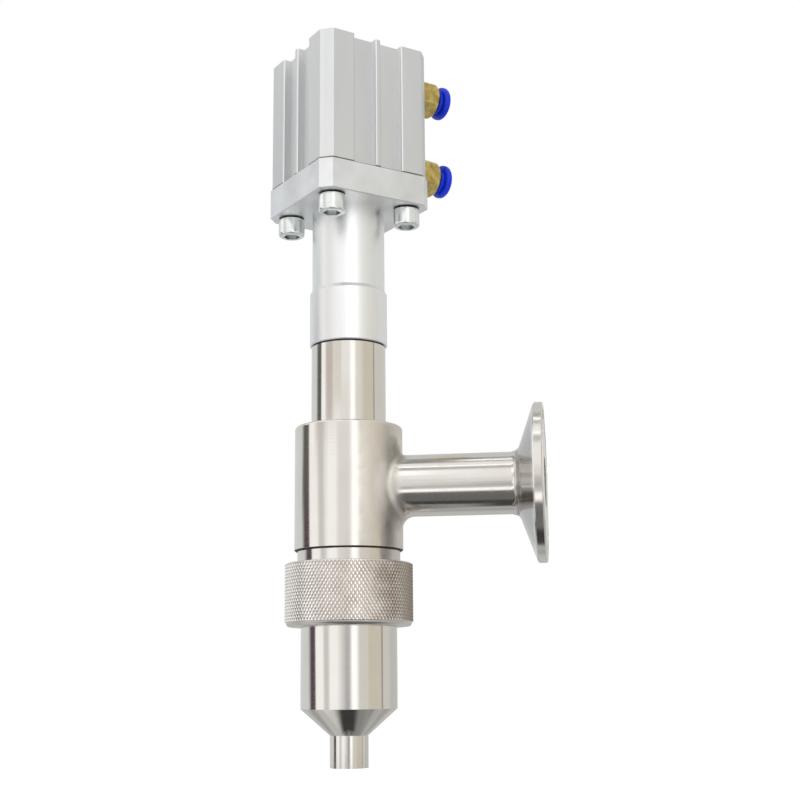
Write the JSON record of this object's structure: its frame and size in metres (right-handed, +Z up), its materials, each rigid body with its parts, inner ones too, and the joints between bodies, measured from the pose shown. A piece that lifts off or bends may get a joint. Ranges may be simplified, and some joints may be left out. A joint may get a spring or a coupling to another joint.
{
  "type": "liquid filling nozzle",
  "caption": "Shut-off liquid filling nozzle: an air cylinder lifts a plug off its seat above the outlet, product enters through a side branch with clamp ferrule.",
  "frame": {"origin": "centre of the outlet tube's mouth, on the nozzle's axis", "axes": "+Z up along the nozzle's axis, towards the air cylinder; +X along the inlet branch, towards its ferrule; the air ports face 39.65 degrees from +X, counted towards +Y"},
  "size_m": [0.0893, 0.0554, 0.2335],
  "materials": {
    "polished_stainless": "turned and polished stainless steel",
    "knurled_stainless": "diamond-knurled stainless steel",
    "ground_steel": "ground stainless rod",
    "zinc_steel": "bright zinc-plated steel",
    "spring_steel": "oiled spring steel",
    "black_washer": "blackened steel",
    "satin_aluminium": "satin turned aluminium",
    "machined_aluminium": "fine machined aluminium",
    "anodised_aluminium": "clear anodised extrusion",
    "plain_brass": "turned brass",
    "bronze": "sintered bronze",
    "blue_plastic": "moulded acetal",
    "white_ptfe": "moulded PTFE",
    "black_rubber": "moulded nitrile rubber"
  },
  "bodies": {
    "nozzle": {"nozzle_body": "polished_stainless", "union_gasket": "white_ptfe", "tee_body": "polished_stainless", "inlet_pipe": "polished_stainless", "inlet_ferrule": "polished_stainless", "bonnet_tube": "polished_stainless", "gland_bush": "white_ptfe", "gland_seals": "black_rubber", "gland_outer_seal": "black_rubber", "stem_guide": "white_ptfe", "connecting_sleeve": "satin_aluminium", "flange_plate": "machined_aluminium", "cap_screws": "zinc_steel", "screw_washers": "black_washer", "cylinder_body": "anodised_aluminium", "front_snap_ring": "spring_steel", "rear_snap_ring": "spring_steel", "front_cover": "machined_aluminium", "front_cover_seal": "black_rubber", "rear_cover": "machined_aluminium", "rear_cover_seal": "black_rubber", "rod_bush": "bronze", "rod_seal": "black_rubber", "upper_fitting": "plain_brass", "lower_fitting": "plain_brass", "port_gaskets": "black_rubber", "tube_seals": "black_rubber", "grip_rings": "spring_steel"},
    "valve": {"piston": "machined_aluminium", "piston_seal": "black_rubber", "wear_ring": "white_ptfe", "piston_bumpers": "black_rubber", "piston_nut": "zinc_steel", "piston_rod": "ground_steel", "coupling_nut": "zinc_steel", "valve_stem": "ground_steel", "valve_plug": "ground_steel", "plug_seal": "black_rubber"},
    "nut": {"union_nut": "knurled_stainless"},
    "upper_ring": {"upper_release_ring": "blue_plastic"},
    "lower_ring": {"lower_release_ring": "blue_plastic"}
  },
  "joints": [
    {"name": "valve_lift", "type": "slide", "parent": "nozzle", "child": "valve", "axis": [0, 0, 1], "range_m": [0, 0.012]},
    {"name": "nut_turn", "type": "hinge", "parent": "nozzle", "child": "nut", "pos_m": [0, 0, 0.05255], "axis": [0, 0, 1], "continuous": true},
    {"name": "upper_ring_push", "type": "slide", "parent": "nozzle", "child": "upper_ring", "axis": [-0.77, -0.6381, 0], "range_m": [0, 0.0012], "stiffness_N_per_m": 800, "springref_m": -0.001},
    {"name": "lower_ring_push", "type": "slide", "parent": "nozzle", "child": "lower_ring", "axis": [-0.77, -0.6381, 0], "range_m": [0, 0.0012], "stiffness_N_per_m": 800, "springref_m": -0.001}
  ]
}
